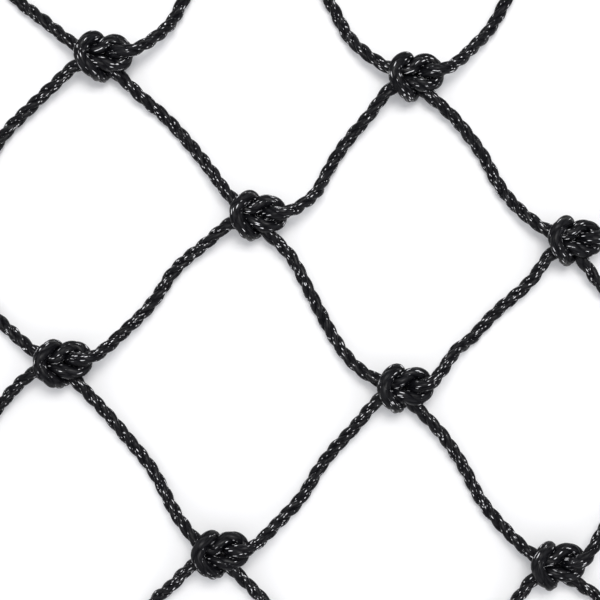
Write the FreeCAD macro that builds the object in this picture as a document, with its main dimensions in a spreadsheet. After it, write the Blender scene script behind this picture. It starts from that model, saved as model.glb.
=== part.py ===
import FreeCAD, Part
import math
import os

# A knotted climbing net laid out flat: seven zigzag twines tied to each other with mesh knots,
# hitched to a border rope with a thimble eye at each corner. Millimetres, +Z up, +Y to the top.
Vector = FreeCAD.Vector

doc = FreeCAD.newDocument("climbing_net")
sheet = doc.addObject("Spreadsheet::Sheet", "Sizes")
SIZES = {
    "twine_diameter": 12.0,      # the mesh twine
    "border_diameter": 16.0,     # the rope round the edge
    "mesh_step": 160.0,          # half the diagonal of one diamond
    "knot_pitch": 1.05,          # knot size, in twine diameters for each unit of its lists
    "fold_slope": 0.06,          # how far the columns of knots lean, mm across for each mm up
    "fold_angle": 45.0,          # the furthest that one strip folds on the next
    "fold_clearance": 0.5,       # between the round ends that meet at a fold
    "hitch_clearance": 0.4,      # between a hitch and the border rope
    "twine_gap": 0.7,            # between two turns that lie side by side
    "pair_offset": 19.0,         # from the middle of a pair of end hitches to each of them
    "end_hitch_inset": 80.0,     # from a corner to the single end hitch beside it
    "thimble_bore_radius": 15.0,
    "thimble_wall": 3.0,         # from the bore to the bottom of the groove
    "thimble_lip": 9.0,          # height of the groove's sides
    "thimble_lip_width": 2.0,    # thickness of each side
    "eye_clearance": 0.2,        # between the border rope and the thimble's groove
    "eye_reach": 62.0,           # from a corner of the border out to the thimble's centre
    "seizing_wall": 2.0,         # thickness of a binding over the ropes
    "end_seizing_length": 15.0,
    "throat_seizing_length": 22.0,
    "ferrule_radius": 11.0,
    "ferrule_length": 48.0,
}
for row, (alias, value) in enumerate(SIZES.items(), start=1):
    sheet.set("A%d" % row, alias.replace("_", " "))
    sheet.set("B%d" % row, str(value))
    sheet.setAlias("B%d" % row, alias)
doc.recompute()


def size(alias):
    return float(getattr(sheet, alias))


TWINE = size("twine_diameter")
TWINE_RADIUS = TWINE / 2
BORDER_RADIUS = size("border_diameter") / 2
STEP = size("mesh_step")
KNOT_UNIT = size("knot_pitch") * TWINE
HALF_NET = 3.5 * STEP
LAST_COLUMN = 7                  # columns 1 to 6 hold knots, 0 and 7 are the side borders
SEWING_REACH = 0.01
VOLUME_TOLERANCE = 0.01
OUTER_TWINE_CUTS = (2, 4)        # the bars where a twine that crosses no fold is cut
MID_RUN = 16.0                   # half the straight stretch of a bar where it crosses a fold
FOLD_HEIGHT = BORDER_RADIUS      # the folds lie at the height of the border rope's centre
WRAP_RADIUS = (BORDER_RADIUS + TWINE_RADIUS + size("hitch_clearance")) / math.cos(math.radians(30))
HITCH_HEIGHT = WRAP_RADIUS + TWINE_RADIUS    # the border rope's centre where a twine goes round it
TURN_PITCH = TWINE + size("twine_gap")
TURN_INSET = TWINE               # from the border rope's middle in to where a bar is aimed

# One mesh knot, from its near side: across, up and towards the viewer, in knot units.
# The bight comes from the left and turns back; the hitch comes from the right, goes down through
# the bight, round behind it, over its two legs and out under itself.
BIGHT = [
    (-4.1, 2.3, -0.9), (-2.5, 0.95, -0.4), (-1.25, 0.35, -0.2), (-0.25, 0.3, 0.05),
    (0.45, 1.05, -0.1), (1.3, 1.1, -0.35), (1.85, 0.55, -0.45), (1.95, -0.2, -0.35),
    (1.55, -0.8, -0.15), (0.8, -0.9, 0.1), (-0.1, -0.65, 0.2), (-1.1, -0.6, -0.25),
    (-2.25, -1.2, -0.4), (-3.6, -2.9, -0.9),
]
HITCH = [
    (4.8, 1.9, -0.6), (3.3, 0.6, 0.2), (2.2, 0.1, 0.7), (1.3, 0.15, 0.55), (0.7, 0.05, -0.2),
    (0.9, 0.1, -1.15), (0.7, -0.4, -1.75), (0.3, -1.05, -1.85), (-0.15, -1.55, -1.4),
    (-0.4, -1.6, -0.4), (-0.75, -1.4, 0.45), (-1.4, -0.75, 0.85), (-1.65, 0.1, 0.8),
    (-1.3, 0.85, 0.7), (-0.65, 1.35, 0.2), (-0.35, 1.25, -0.7), (-0.2, 0.6, -1.15),
    (0.0, -0.45, -1.0), (0.65, -1.15, -0.75), (1.6, -2.1, -0.85), (3.0, -3.6, -1.05),
]
KNOT_HEIGHT = TWINE_RADIUS - min(point[2] for point in HITCH) * KNOT_UNIT

# How far each knot lies from its place in an even net: across and up.
KNOT_SHIFTS = {
    (1, 1): (12, -5), (1, 2): (-16, 12), (1, 3): (-32, 14),
    (2, 1): (16, 12), (2, 2): (-25, 26), (2, 3): (-26, 18),
    (3, 1): (14, 2), (3, 2): (9, 13), (3, 3): (-28, -4),
    (4, 1): (6, -8), (4, 2): (-5, 1), (4, 3): (-22, -8),
    (5, 1): (12, -18), (5, 2): (4, -12), (5, 3): (-13, -15),
    (6, 1): (2, -23), (6, 2): (7, -13), (6, 3): (-18, 5),
}

# How far each knot is turned from upright, in degrees anticlockwise.
KNOT_TURNS = {
    (1, 1): -8, (1, 2): 4, (1, 3): -5, (2, 1): 0, (2, 2): 5, (2, 3): -6,
    (3, 1): 3, (3, 2): -4, (3, 3): 5, (4, 1): 2, (4, 2): -2, (4, 3): 6,
    (5, 1): -4, (5, 2): -3, (5, 3): 2, (6, 1): 5, (6, 2): -6, (6, 3): 3,
}

# How far each knot's four bars lean round it, in degrees anticlockwise: the bight's two, from the
# upper left and to the lower left, then the hitch's two, from the upper right and to the lower right.
BAR_LEANS = {
    (1, 1): (-6, 4, 0, 3), (1, 2): (4, -5, 5, 0), (1, 3): (-3, 6, -4, 4),
    (2, 1): (0, -8, 0, 3), (2, 2): (-6, -14, -2, -5), (2, 3): (5, 0, 4, -4),
    (3, 1): (-4, 5, 6, -3), (3, 2): (-10, -5, 2, 4), (3, 3): (-16, -8, 0, -3),
    (4, 1): (1, 1, 1, 3), (4, 2): (6, 3, 15, 2), (4, 3): (-4, 5, -6, 4),
    (5, 1): (5, -6, 0, 4), (5, 2): (3, 11, 5, -4), (5, 3): (-6, 6, 14, 10),
    (6, 1): (-5, 0, 4, 0), (6, 2): (3, -6, 0, 5), (6, 3): (0, 4, -5, 3),
}
FOLD_SHIFTS = [-18.0, 0.0, 0.0, 0.0, 4.0]

# An end hitch. The lead and the tail give reach along the bar and height, and the loop gives
# place along the border, inwards and up in wrap radii.
END_LEAD = [(40.0, -5.0), (18.0, 7.0)]
END_LOOP = [(0, 6, 0.98), (2, -12, 0.7), (5, -16.5, -0.25), (8.5, -7, -0.97), (11, 9, -0.97)]
END_TAIL = [(18.0, -14.5), (36.0, -9.0), (54.0, -10.5)]

END_SEIZING_REACH = 41.0         # from where the bar is aimed to the middle of its binding
END_SEIZING_DROP = -8.5          # and how far that lies below the hitch's height
END_SEIZING_SLOPE = -0.25

# A side hitch's turns are worked out; these lead in and out: along, inwards, and up in wrap radii.
SIDE_LEAD = [(-38.0, 46.0, 0.12), (-21.0, 26.0, 0.8)]
SIDE_FIRST, SIDE_LAST, SIDE_TURN_STEP = 75, 615, 60

# How far each bar of a twine bows to the right of its way down, before and after its middle.
BOWS = {
    1: [(0, 4), (-4, -8), (6, 12), (-4, -10), (8, 14), (-4, -8), (0, 0)],
    2: [(-4, -10), (8, 15), (8, -4), (8, 17), (14, -5), (5, 12), (-3, -5)],
    3: [(4, 10), (-8, -20), (-2, -2), (8, -7), (0, 4), (6, -6), (3, 0)],
    4: [(-3, -10), (12, 21), (-6, -18), (12, 19), (-4, -17), (9, 14), (-4, -4)],
    5: [(3, 9), (-6, -17), (2, 13), (-6, -11), (5, 15), (-3, -12), (4, 2)],
    6: [(-4, -9), (5, 14), (-4, -12), (2, 12), (-4, -14), (-2, 8), (-3, -6)],
    7: [(3, 0), (-4, -8), (4, 10), (-3, -10), (5, 12), (-4, -9), (2, 4)],
}


def fold_x(fold, y):
    """The place across the net of a fold line, at a height up the net."""
    return (fold - 3) * STEP + FOLD_SHIFTS[fold - 1] + size("fold_slope") * (y - STEP / 2)


def row_y(column, row):
    """The height of a row of knots: the rows of even columns lie one step lower."""
    return (4.5 - 2 * row - (column + 1) % 2) * STEP


def column_x(column, y):
    """The line that a column of knots leans along."""
    return (column - 3.5) * STEP + size("fold_slope") * (y - STEP / 2)


def knot_place(column, row):
    shift = KNOT_SHIFTS[(column, row)]
    return Vector((column - 3.5) * STEP + shift[0], row_y(column, row) + shift[1], KNOT_HEIGHT)


def knot_points(column, row, points):
    """One side of a knot. The two points at each of its ends lean with their bar, and the third
    one leans half as far."""
    leans = BAR_LEANS[(column, row)][:2] if points is BIGHT else BAR_LEANS[(column, row)][2:]
    shares = [1, 1, 0.5] + [0] * (len(points) - 3)
    places = []
    for point, first_share, last_share in zip(points, shares, reversed(shares)):
        lean = leans[0] * first_share + leans[1] * last_share
        turn = FreeCAD.Rotation(Vector(0, 0, 1), KNOT_TURNS[(column, row)] + lean)
        places.append(knot_place(column, row) + turn * Vector(*point) * KNOT_UNIT)
    return places


def side_turns(column, row):
    """A turn and a half round a side border: over it, round, and out under it, on the way down."""
    inwards = 1 if column == 0 else -1
    centre = Vector(-inwards * HALF_NET, row_y(column, row), HITCH_HEIGHT)
    places = [(along, inward, up * WRAP_RADIUS) for along, inward, up in SIDE_LEAD]
    for angle in range(SIDE_FIRST, SIDE_LAST + 1, SIDE_TURN_STEP):
        along = TURN_PITCH * ((angle - SIDE_FIRST) / 360.0 - 0.75)
        radians = math.radians(angle)
        places.append((along, WRAP_RADIUS * math.cos(radians), WRAP_RADIUS * math.sin(radians)))
    places += [(21.0, 26.0, -0.95 * WRAP_RADIUS), (38.0, 46.0, FOLD_HEIGHT - HITCH_HEIGHT)]
    return [centre + Vector(inwards * inward, -along, up) for along, inward, up in places]


def end_hitch_frame(column, towards):
    """An end hitch's centre on the top or bottom border, its two directions, and its bar's."""
    at_top = column % 2 == 0
    inwards = Vector(0, -1 if at_top else 1, 0)
    border_y = HALF_NET if at_top else -HALF_NET
    if column in (0, LAST_COLUMN):
        corner = -1 if column == 0 else 1
        x = corner * (HALF_NET - size("end_hitch_inset"))
    else:
        x = column_x(column, border_y)
        x += size("pair_offset") if towards.x > x else -size("pair_offset")
    centre = Vector(x, border_y, HITCH_HEIGHT)
    lean = 1 if towards.x > x else -1
    sideways = Vector(-lean, 0, 0)
    pivot = centre + inwards * TURN_INSET
    bar = Vector(towards.x - pivot.x, towards.y - pivot.y, 0).normalize()
    beside = Vector(-bar.y, bar.x, 0) * (1 if Vector(-bar.y, bar.x, 0).dot(sideways) > 0 else -1)
    return centre, sideways, inwards, pivot, bar, beside


def end_hitch(column, towards):
    """From the bar, over the border rope, round it and back beside the bar as a short end."""
    centre, sideways, inwards, pivot, bar, beside = end_hitch_frame(column, towards)
    up = Vector(0, 0, 1)
    points = [pivot + bar * reach + up * height for reach, height in END_LEAD]
    for along, inward, height in END_LOOP:
        points.append(centre + sideways * along + inwards * inward + up * height * WRAP_RADIUS)
    for reach, height in END_TAIL:
        points.append(pivot + bar * reach + beside * TURN_PITCH + up * height)
    return points


def bar_middle(start, end, bows, fold):
    """The two points of a bar either side of the fold that it crosses, and the crossing."""
    along = Vector(end.x - start.x, end.y - start.y, 0)
    direction = Vector(along).normalize()
    right = Vector(direction.y, -direction.x, 0)
    bow = right * (sum(bows) / 2)
    share = 0.5
    if fold:
        for _ in range(5):
            y = start.y + share * along.y + bow.y
            share = (fold_x(fold, y) - start.x - bow.x) / along.x
    middle = Vector(start.x + share * along.x, start.y + share * along.y, FOLD_HEIGHT)
    first = middle - direction * MID_RUN + right * bows[0]
    second = middle + direction * MID_RUN + right * bows[1]
    before = first.x - fold_x(fold, first.y)
    after = second.x - fold_x(fold, second.y)
    return [first, second], first + (second - first) * (before / (before - after))


def stop_place(column, row):
    """Where a twine turns back: at a knot, or round a side border."""
    if column in (0, LAST_COLUMN):
        inwards = 1 if column == 0 else -1
        return Vector(-inwards * (HALF_NET - TURN_INSET), row_y(column, row), HITCH_HEIGHT)
    return knot_place(column, row)


def twine_columns(number):
    """The two columns that a twine runs between: left, right, and the same as even, odd."""
    left, right = number - 1, number
    even, odd = (left, right) if left % 2 == 0 else (right, left)
    return left, right, even, odd


def twine_route(number):
    """The points of one zigzag twine from the top border to the bottom one, its crossings of a
    fold, and where it is cut into lengths if it crosses none."""
    left, right, even, odd = twine_columns(number)
    fold = left if 1 <= left < LAST_COLUMN - 1 else 0
    stops = [(column, row) for row in (1, 2, 3) for column in (odd, even)]
    places = [stop_place(*stop) for stop in stops]
    top = end_hitch(even, places[0])
    bottom = end_hitch(odd, places[-1])
    groups = [list(reversed(top))]
    for column, row in stops:
        if column in (0, LAST_COLUMN):
            groups.append(side_turns(column, row))
        else:
            groups.append(knot_points(column, row, BIGHT if column == right else HITCH))
    groups.append(bottom)
    anchors = [end_hitch_frame(even, places[0])[3]] + places + [end_hitch_frame(odd, places[-1])[3]]
    route, crossings, cuts = list(groups[0]), [], []
    for index, bows in enumerate(BOWS[number]):
        middle, crossing = bar_middle(anchors[index], anchors[index + 1], bows, fold)
        if fold:
            crossings.append((len(route), crossing))
        elif index in OUTER_TWINE_CUTS:
            cuts.append((len(route), (middle[0] + middle[1]) / 2))
        route += middle + groups[index + 1]
    return route, crossings, cuts, fold


def round_ended_gap(radius):
    """From a fold's axis to the centre of each round end, so that two meet only when folded."""
    half_fold = math.radians(size("fold_angle") / 2)
    return (radius + size("fold_clearance")) / math.cos(half_fold)


def cut_rope(route, crossings, cuts, radius):
    """Cut a route: at its crossings each piece stops short of the fold, and at its cuts they meet.
    Each piece has its points and whether its two ends are round, as they are at a fold."""
    # The route's points index and index + 1 lie either side of each place.
    places = [(index, place, round_ended_gap(radius)) for index, place in crossings]
    places += [(index, place, 0.0) for index, place in cuts]
    pieces, lead, first, round_start = [], [], 0, False
    for index, place, gap in sorted(places, key=lambda found: found[0]):
        short = (route[index + 1] - route[index]).normalize() * gap
        pieces.append((lead + route[first:index + 1] + [place - short], round_start, gap > 0))
        lead, first, round_start = [place + short], index + 1, gap > 0
    pieces.append((lead + route[first:], round_start, False))
    return pieces


def rope_path(points):
    """Straight runs joined by tangent arcs, each as large as its two runs allow."""
    edges, radii, length = [], [], 0.0
    previous = points[0]
    for before, corner, after in zip(points, points[1:], points[2:]):
        back, ahead = before - corner, after - corner
        tangent = 0.45 * min(back.Length, ahead.Length)
        back.normalize()
        ahead.normalize()
        turn = math.pi - back.getAngle(ahead)
        radius = tangent / math.tan(turn / 2)
        start, end = corner + back * tangent, corner + ahead * tangent
        towards = (back + ahead).normalize()
        middle = corner + towards * (radius / math.cos(turn / 2) - radius)
        edges.append(Part.LineSegment(previous, start).toShape())
        edges.append(Part.Arc(start, middle, end).toShape())
        length += (start - previous).Length + radius * turn
        radii.append(radius)
        previous = end
    edges.append(Part.LineSegment(previous, points[-1]).toShape())
    length += (points[-1] - previous).Length
    return Part.Wire(edges), radii, length


def rope_end(centre, outwards, radius, is_round):
    """The face that closes a rope: half a ball where it meets a fold, and flat elsewhere."""
    if is_round:
        ball = Part.makeSphere(radius, centre, outwards, 0, 90, 360)
        return [face for face in ball.Faces if face.Surface.TypeId == "Part::GeomSphere"][0]
    return Part.Face(Part.Wire([Part.Circle(centre, outwards, radius).toShape()]))


def rope_solid(points, radius, round_start=False, round_finish=False):
    """A round rope along a route, with its volume compared with its section times its length."""
    path, _, length = rope_path(points)
    back = (points[0] - points[1]).normalize()
    ahead = (points[-1] - points[-2]).normalize()
    section = Part.Wire([Part.Circle(points[0], back, radius).toShape()])
    faces = list(path.makePipeShell([section], False, False).Faces)
    faces.append(rope_end(points[0], back, radius, round_start))
    faces.append(rope_end(points[-1], ahead, radius, round_finish))
    shell = Part.makeShell(faces)
    shell.sewShape(SEWING_REACH)
    solid = Part.Solid(shell.Shells[0])
    if solid.Volume < 0:
        solid.reverse()
    balls = (int(round_start) + int(round_finish)) * 2 / 3 * math.pi * radius ** 3
    expected = math.pi * radius ** 2 * length + balls
    if abs(solid.Volume / expected - 1) > VOLUME_TOLERANCE:
        raise RuntimeError("a rope's volume isn't its section times its length")
    return solid


def border_side(corner, along, hitches, folds, rests):
    """Points of one side of the border: up at its hitches, down at its folds and rests."""
    outwards = Vector(-along.y, along.x, 0)
    points = []
    for position, half in hitches:
        points += [(position - half, 0.0, HITCH_HEIGHT), (position + half, 0.0, HITCH_HEIGHT)]
    low = [(position, BORDER_FOLD_HALF, FOLD_HEIGHT) for position in folds]
    low += [(position, REST_HALF, REST_HEIGHT) for position in rests]
    for position, half, height in low:
        points += [(position - half, LOW_BOWS[0], height), (position + half, LOW_BOWS[1], height)]
    points.sort()
    filled = [points[0]]
    for point in points[1:]:
        before = filled[-1]
        gap = point[0] - before[0]
        if gap > LONGEST_BORDER_RUN:
            height = min(point[2], before[2])
            filled.append((before[0] + 0.35 * gap, LONG_RUN_BOWS[0], height))
            filled.append((before[0] + 0.7 * gap, LONG_RUN_BOWS[1], height))
        filled.append(point)
    middle = corner + along * HALF_NET
    return [middle + along * place + outwards * out + Vector(0, 0, up) for place, out, up in filled]


def corner_frame(corner, before, after):
    """A corner's outward diagonal and the direction across it."""
    return (before - after).normalize(), (before + after).normalize()


def corner_eye(corner, before, after):
    """Up one side of the throat, round the thimble and back down the other side."""
    outwards, across = corner_frame(corner, before, after)
    wide = EYE_RADIUS / math.cos(math.radians(EYE_TURN_STEP / 2))
    places = [(-THROAT, THROAT_START), (-THROAT, THROAT_FINISH)]
    for turn in range(6):
        radians = math.radians((turn - 2.5) * EYE_TURN_STEP)
        places.append((wide * math.sin(radians), size("eye_reach") + wide * math.cos(radians)))
    places += [(THROAT, THROAT_FINISH), (THROAT, THROAT_START)]
    points = [corner + across * side + outwards * out for side, out in places]
    points = [corner - before * CORNER_REACH] + points + [corner + after * CORNER_REACH]
    return [point + Vector(0, 0, EYE_HEIGHT) for point in points]


def throat_cuts(corner, before, after):
    """Where the corner's binding hides the cuts of the two sides of the throat."""
    outwards, across = corner_frame(corner, before, after)
    middle = corner + outwards * SEIZING_REACH + Vector(0, 0, EYE_HEIGHT)
    return [middle - across * THROAT, middle + across * THROAT]


def placed(origin, x_axis, z_axis):
    """A placement that turns a piece's own X and Z axes to two directions."""
    z_axis = Vector(z_axis).normalize()
    y_axis = z_axis.cross(x_axis).normalize()
    x_axis = y_axis.cross(z_axis)
    matrix = FreeCAD.Matrix(
        x_axis.x, y_axis.x, z_axis.x, origin.x,
        x_axis.y, y_axis.y, z_axis.y, origin.y,
        x_axis.z, y_axis.z, z_axis.z, origin.z,
        0, 0, 0, 1,
    )
    return FreeCAD.Placement(matrix)


def add_rope(label, solids):
    shape = solids[0] if len(solids) == 1 else Part.makeCompound(solids)
    feature = doc.addObject("Part::Feature", label)
    feature.Label = label
    feature.Shape = shape
    feature.Placement = FreeCAD.Placement()
    return feature


def add_cylinder(name, radius, length, x=0.0):
    cylinder = doc.addObject("Part::Cylinder", name)
    cylinder.setExpression("Radius", radius)
    cylinder.setExpression("Height", length)
    cylinder.setExpression("Placement.Base.x", x if isinstance(x, str) else str(x))
    cylinder.setExpression("Placement.Base.z", "-(%s) / 2" % length)
    return cylinder


def add_seizing(name, rope_radius, spacing, length):
    """A binding round two ropes side by side: a flat-sided sleeve with a hole for each rope."""
    wall = "Sizes.seizing_wall"
    outer = "%s + %s" % (rope_radius, wall)
    middle = doc.addObject("Part::Box", name + "_middle")
    middle.setExpression("Length", spacing)
    middle.setExpression("Width", "2 * (%s)" % outer)
    middle.setExpression("Height", length)
    middle.setExpression("Placement.Base.x", "-(%s) / 2" % spacing)
    middle.setExpression("Placement.Base.y", "-(%s)" % outer)
    middle.setExpression("Placement.Base.z", "-(%s) / 2" % length)
    right = add_cylinder(name + "_right", outer, length, "(%s) / 2" % spacing)
    left = add_cylinder(name + "_left", outer, length, "-(%s) / 2" % spacing)
    sleeve = doc.addObject("Part::MultiFuse", name + "_sleeve")
    sleeve.Shapes = [middle, right, left]
    long = "2 * (%s)" % length
    holes = doc.addObject("Part::MultiFuse", name + "_holes")
    holes.Shapes = [
        add_cylinder(name + "_right_hole", rope_radius, long, "(%s) / 2" % spacing),
        add_cylinder(name + "_left_hole", rope_radius, long, "-(%s) / 2" % spacing),
    ]
    seizing = doc.addObject("Part::Cut", name)
    seizing.Base, seizing.Tool = sleeve, holes
    seizing.Label = name
    return seizing


def add_thimble(name):
    """A round thimble: a ring with a groove for the rope."""
    rim = "Sizes.thimble_bore_radius + Sizes.thimble_wall + Sizes.thimble_lip"
    groove = "Sizes.border_diameter / 2 + Sizes.eye_clearance"
    height = "2 * (%s + Sizes.thimble_lip_width)" % groove
    ring = doc.addObject("Part::Cut", name + "_ring")
    ring.Base = add_cylinder(name + "_rim", rim, height)
    ring.Tool = add_cylinder(name + "_bore", "Sizes.thimble_bore_radius", "2 * (%s)" % height)
    torus = doc.addObject("Part::Torus", name + "_groove")
    torus.setExpression("Radius1", "Sizes.thimble_bore_radius + Sizes.thimble_wall + " + groove)
    torus.setExpression("Radius2", groove)
    thimble = doc.addObject("Part::Cut", name)
    thimble.Base, thimble.Tool = ring, torus
    thimble.Label = name
    return thimble


EYE_RADIUS = (
    size("thimble_bore_radius") + size("thimble_wall") + BORDER_RADIUS + size("eye_clearance")
)
EYE_HEIGHT = BORDER_RADIUS + size("eye_clearance") + size("thimble_lip_width")
EYE_TURN_STEP = 45.0             # degrees from one point of an eye to the next
THROAT = BORDER_RADIUS + size("eye_clearance")    # from the throat's middle to each rope's
THROAT_START, THROAT_FINISH = -12.0, 20.0         # out from the corner, along the throat
SEIZING_REACH = 9.0              # from the corner out to the middle of the throat's binding
CORNER_REACH = 45.0              # the border starts to turn this far before its corner
REST_HEIGHT = size("ferrule_radius") + 0.5
REST_HALF = 30.0                 # half a stretch of the border beside the ferrule's height
BORDER_FOLD_HALF = 13.0          # half the low stretch of the border at a fold
LOW_BOWS = (2.0, 3.5)            # how far a low stretch bows outwards, at its two points
LONG_RUN_BOWS = (6.0, 7.0)       # and the points that break up a long run
LONGEST_BORDER_RUN = 75.0
SIDE_HALF = 20.0                 # half the raised stretch of the border at a side hitch
PAIR_HALF = 34.0                 # and at a pair of end hitches
SINGLE_HALF = 18.0               # and at a single one
BUTT_GAP = 0.5                   # from the middle of the ferrule to each end of the border rope

pieces = []

# The mesh twines, each cut where it crosses its fold.
tightest, twine_lengths = [], {}
for number in range(1, LAST_COLUMN + 1):
    route, crossings, cuts, fold = twine_route(number)
    _, radii, twine_lengths[number] = rope_path(route)
    tightest.append(min(radii))
    stretches = {}
    for points, round_start, round_finish in cut_rope(route, crossings, cuts, TWINE_RADIUS):
        solid = rope_solid(points, TWINE_RADIUS, round_start, round_finish)
        middle = solid.BoundBox.Center
        if fold:
            stretch = "hitches" if middle.x < fold_x(fold, middle.y) else "bights"
        else:
            stretch = ("top", "middle", "bottom")[len(stretches)]
        stretches.setdefault(stretch, []).append(solid)
    for stretch, solids in stretches.items():
        pieces.append(add_rope("twine_%d_%s" % (number, stretch), solids))

# The border rope, clockwise from its ferrule on the right side.
ALONG = {
    "top": Vector(1, 0, 0), "right": Vector(0, -1, 0),
    "bottom": Vector(-1, 0, 0), "left": Vector(0, 1, 0),
}
START_CORNER = {
    "top": Vector(-HALF_NET, HALF_NET, 0), "right": Vector(HALF_NET, HALF_NET, 0),
    "bottom": Vector(HALF_NET, -HALF_NET, 0), "left": Vector(-HALF_NET, -HALF_NET, 0),
}
CORNER_NAMES = {
    "top": "top_left", "right": "top_right", "bottom": "bottom_right", "left": "bottom_left",
}
ORDER = ["right", "bottom", "left", "top"]
CORNERS = list(zip(ORDER, ORDER[1:] + ORDER[:1]))
FOLDS = range(1, LAST_COLUMN - 1)
SINGLE_HITCH = HALF_NET - size("end_hitch_inset")
TOP_PAIRS = [(column_x(column, HALF_NET), PAIR_HALF) for column in (2, 4, 6)]
BOTTOM_PAIRS = [(-column_x(column, -HALF_NET), PAIR_HALF) for column in (5, 3, 1)]
LEFT_RESTS = [row_y(0, row) + STEP for row in (1, 2, 3)]
RIGHT_RESTS = [row_y(LAST_COLUMN, row) - STEP for row in (1, 2, 3)]
border_sides = {
    "top": border_side(
        START_CORNER["top"], ALONG["top"], [(-SINGLE_HITCH, SINGLE_HALF)] + TOP_PAIRS,
        [fold_x(fold, HALF_NET) for fold in FOLDS], [],
    ),
    "right": border_side(
        START_CORNER["right"], ALONG["right"],
        [(-row_y(LAST_COLUMN, row), SIDE_HALF) for row in (1, 2, 3)], [],
        [-rest for rest in RIGHT_RESTS],
    ),
    "bottom": border_side(
        START_CORNER["bottom"], ALONG["bottom"], [(-SINGLE_HITCH, SINGLE_HALF)] + BOTTOM_PAIRS,
        [-fold_x(fold, -HALF_NET) for fold in FOLDS], [],
    ),
    "left": border_side(
        START_CORNER["left"], ALONG["left"],
        [(row_y(0, row), SIDE_HALF) for row in (3, 2, 1)], [], LEFT_RESTS,
    ),
}
border_eyes = {
    after: corner_eye(START_CORNER[after], ALONG[before], ALONG[after]) for before, after in CORNERS
}
ferrule_y = row_y(LAST_COLUMN, 2) - STEP
below = [point for point in border_sides["right"] if point.y < ferrule_y]
above = [point for point in border_sides["right"] if point.y > ferrule_y]
butt_middle = (above[-1] + below[0]) / 2
butt_direction = (below[0] - above[-1]).normalize()
border = [butt_middle + butt_direction * BUTT_GAP] + below
for side in ("bottom", "left", "top"):
    border += border_eyes[side] + border_sides[side]
border += border_eyes["right"] + above + [butt_middle - butt_direction * BUTT_GAP]

border_crossings, border_cuts = [], []
for index, (start, end) in enumerate(zip(border, border[1:])):
    for fold in FOLDS:
        before = start.x - fold_x(fold, start.y)
        after = end.x - fold_x(fold, end.y)
        if before * after < 0 and abs(abs(start.y) - HALF_NET) < STEP / 2:
            border_crossings.append((index, start + (end - start) * (before / (before - after))))
    for side_before, side_after in CORNERS:
        for place in throat_cuts(START_CORNER[side_after], ALONG[side_before], ALONG[side_after]):
            if place.distanceToLine(start, end - start) < SEWING_REACH:
                if (place - start).dot(place - end) < 0:
                    border_cuts.append((index, place))
    for rest in LEFT_RESTS if start.x < 0 else RIGHT_RESTS:
        if (start.y - rest) * (end.y - rest) < 0 and abs(abs(start.x) - HALF_NET) < STEP / 2:
            border_cuts.append((index, start + (end - start) * ((rest - start.y) / (end.y - start.y))))
_, border_radii, border_length = rope_path(border)
border_solids = {}
for points, round_start, round_finish in cut_rope(border, border_crossings, border_cuts, BORDER_RADIUS):
    solid = rope_solid(points, BORDER_RADIUS, round_start, round_finish)
    middle = solid.CenterOfMass
    upper = "top" if middle.y > 0 else "bottom"
    sideways = "right" if middle.x > 0 else "left"
    if min(abs(middle.x), abs(middle.y)) > HALF_NET:
        label = "border_eye_%s_%s" % (upper, sideways)
    elif abs(middle.x) > HALF_NET - 2 * BORDER_RADIUS:
        stretch = 1 + sum(middle.y < rest for rest in (LEFT_RESTS if middle.x < 0 else RIGHT_RESTS))
        label = "border_rope_%s_%d" % (sideways, stretch)
    else:
        strip = 1 + sum(middle.x > fold_x(fold, middle.y) for fold in FOLDS)
        label = "border_rope_%s_%d" % (upper, strip)
    border_solids.setdefault(label, []).append(solid)
for label, solids in border_solids.items():
    pieces.append(add_rope(label, solids))

# The thimble in each corner's eye, and the binding round its throat.
for before, after in CORNERS:
    corner = START_CORNER[after] + Vector(0, 0, EYE_HEIGHT)
    outwards, across = corner_frame(corner, ALONG[before], ALONG[after])
    thimble = add_thimble("thimble_" + CORNER_NAMES[after])
    thimble.Placement = FreeCAD.Placement(corner + outwards * size("eye_reach"), FreeCAD.Rotation())
    seizing = add_seizing(
        "throat_seizing_" + CORNER_NAMES[after], "Sizes.border_diameter / 2",
        "Sizes.border_diameter + 2 * Sizes.eye_clearance", "Sizes.throat_seizing_length",
    )
    seizing.Placement = placed(corner + outwards * SEIZING_REACH, across, outwards)
    pieces += [thimble, seizing]

# The bindings that hold the twines' ends beside their bars.
end_seizings = {}
for number in range(1, LAST_COLUMN + 1):
    _, _, even, odd = twine_columns(number)
    for end, column, towards in (("top", even, (odd, 1)), ("bottom", odd, (even, 3))):
        _, _, _, pivot, bar, beside = end_hitch_frame(column, stop_place(*towards))
        seizing = add_seizing(
            "end_seizing_%d_%s" % (number, end), "Sizes.twine_diameter / 2",
            "Sizes.twine_diameter + Sizes.twine_gap", "Sizes.end_seizing_length",
        )
        middle = pivot + bar * END_SEIZING_REACH + beside * (TURN_PITCH / 2)
        middle.z += END_SEIZING_DROP
        seizing.Placement = placed(middle, beside, bar + Vector(0, 0, END_SEIZING_SLOPE))
        strip = min(max(column, 1), LAST_COLUMN - 1)
        end_seizings.setdefault(strip, []).append(seizing)
for strip, seizings in sorted(end_seizings.items()):
    group = doc.addObject("Part::Compound", "end_seizings_%d" % strip)
    group.Links = seizings
    group.Label = "end_seizings_%d" % strip
    pieces.append(group)

# The pressed sleeve that joins the border rope's two ends.
ferrule = doc.addObject("Part::Cut", "border_ferrule")
ferrule.Base = add_cylinder("ferrule_sleeve", "Sizes.ferrule_radius", "Sizes.ferrule_length")
ferrule.Tool = add_cylinder("ferrule_bore", "Sizes.border_diameter / 2", "2 * Sizes.ferrule_length")
ferrule.Label = "border_ferrule"
ferrule.Placement = placed(butt_middle, Vector(0, 0, 1), butt_direction)
pieces.append(ferrule)

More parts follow.
